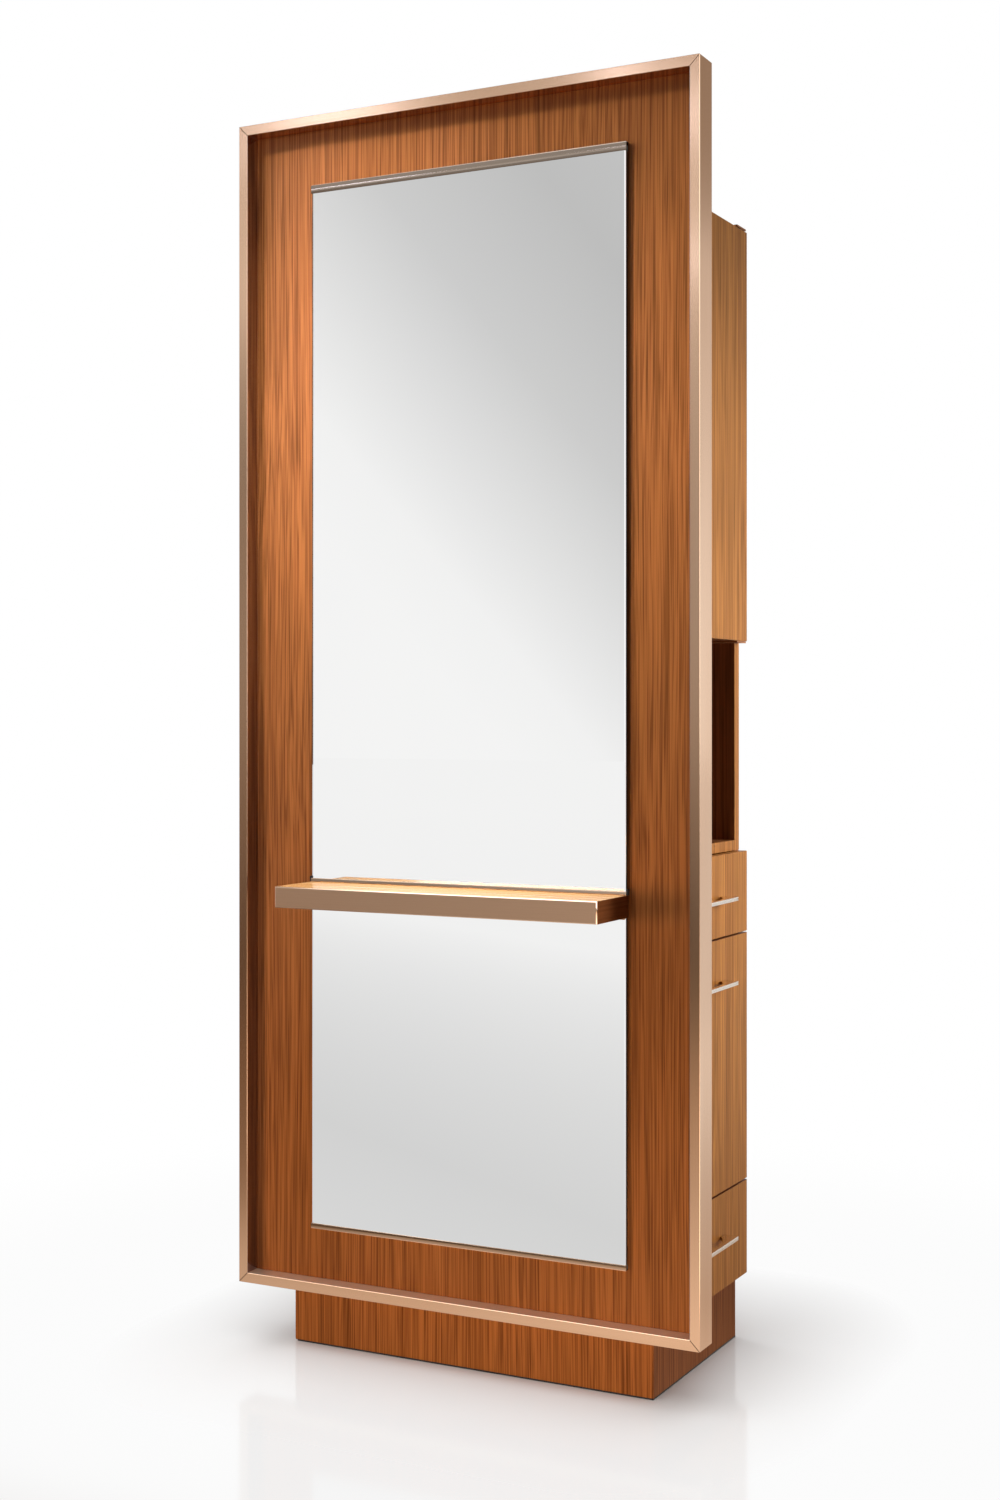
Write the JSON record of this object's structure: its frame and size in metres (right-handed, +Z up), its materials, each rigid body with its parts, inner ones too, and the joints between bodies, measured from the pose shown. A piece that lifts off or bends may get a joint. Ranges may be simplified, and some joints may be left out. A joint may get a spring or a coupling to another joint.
{
  "type": "styling station",
  "caption": "Tall salon styling station: metal frame round a veneered panel with mirror and narrow shelf, and behind it a side-opening cabinet with door, niche and drawers on a plinth.",
  "frame": {"origin": "on the floor, under the middle of the station's plan", "axes": "+Z up, -Y towards the client in front of the mirror, +Y towards the wall, +X the side on which the door and drawers open"},
  "size_m": [0.866, 0.5168, 2.134],
  "materials": {
    "bronze_aluminium": "champagne bronze anodised, satin",
    "mill_aluminium": "mill finish",
    "cherry_panel": "straight-grained veneer, satin lacquer",
    "cherry_front": "straight-grained veneer, satin lacquer",
    "cherry_carcass": "faced board with matching edge band",
    "silvered_glass": "polished",
    "satin_nickel": "satin nickel plate",
    "zinc_steel": "bright zinc plate",
    "tray_plastic": "fine moulded texture",
    "black_nylon": "moulded"
  },
  "bodies": {
    "station": {"frame_top_rail": "bronze_aluminium", "frame_bottom_rail": "bronze_aluminium", "frame_left_stile": "bronze_aluminium", "frame_right_stile": "bronze_aluminium", "corner_key_top_left": "mill_aluminium", "corner_key_top_right": "mill_aluminium", "corner_key_bottom_left": "mill_aluminium", "corner_key_bottom_right": "mill_aluminium", "mirror_panel": "cherry_panel", "upper_mirror": "silvered_glass", "lower_mirror": "silvered_glass", "mirror_top_channel": "bronze_aluminium", "mirror_mid_channel": "bronze_aluminium", "mirror_bottom_channel": "bronze_aluminium", "shelf_board": "cherry_panel", "shelf_front_trim": "bronze_aluminium", "shelf_bracket": "zinc_steel", "carcass_front_side": "cherry_carcass", "carcass_rear_side": "cherry_carcass", "carcass_left_panel": "cherry_carcass", "carcass_top": "cherry_carcass", "carcass_bottom": "cherry_carcass", "centre_partition": "cherry_carcass", "niche_floor": "cherry_carcass", "niche_top": "cherry_carcass", "cabinet_shelf": "cherry_carcass", "plinth_front": "cherry_front", "plinth_right": "cherry_front", "plinth_rear": "cherry_front", "plinth_left": "cherry_front", "levelling_leg_front_left": "black_nylon", "levelling_leg_front_right": "black_nylon", "levelling_leg_rear_left": "black_nylon", "levelling_leg_rear_right": "black_nylon", "upper_pivot_bracket": "zinc_steel", "lower_pivot_bracket": "zinc_steel", "magnetic_catch": "black_nylon", "wall_bracket": "zinc_steel", "bottom_drawer_cabinet_slide_near": "zinc_steel", "bottom_drawer_cabinet_slide_far": "zinc_steel", "tool_drawer_cabinet_slide_near": "zinc_steel", "tool_drawer_cabinet_slide_far": "zinc_steel", "top_drawer_cabinet_slide_near": "zinc_steel", "top_drawer_cabinet_slide_far": "zinc_steel"},
    "door": {"upper_door": "cherry_front"},
    "bottom_drawer": {"bottom_drawer_front": "cherry_front", "bottom_drawer_handle": "satin_nickel", "bottom_drawer_tray": "tray_plastic", "bottom_drawer_drawer_slide_near": "zinc_steel", "bottom_drawer_drawer_slide_far": "zinc_steel"},
    "tool_drawer": {"tool_drawer_front": "cherry_front", "tool_drawer_handle": "satin_nickel", "tool_drawer_tray": "tray_plastic", "tool_drawer_drawer_slide_near": "zinc_steel", "tool_drawer_drawer_slide_far": "zinc_steel"},
    "top_drawer": {"top_drawer_front": "cherry_front", "top_drawer_handle": "satin_nickel", "top_drawer_tray": "tray_plastic", "top_drawer_drawer_slide_near": "zinc_steel", "top_drawer_drawer_slide_far": "zinc_steel"}
  },
  "joints": [
    {"name": "door_swing", "type": "hinge", "parent": "station", "child": "door", "pos_m": [0.35, 0.2494, 1.59125], "axis": [0, 0, 1], "range_deg": [0, 90]},
    {"name": "bottom_drawer_slide", "type": "slide", "parent": "station", "child": "bottom_drawer", "axis": [1, 0, 0], "range_m": [0, 0.36]},
    {"name": "tool_drawer_slide", "type": "slide", "parent": "station", "child": "tool_drawer", "axis": [1, 0, 0], "range_m": [0, 0.36]},
    {"name": "top_drawer_slide", "type": "slide", "parent": "station", "child": "top_drawer", "axis": [1, 0, 0], "range_m": [0, 0.36]}
  ]
}
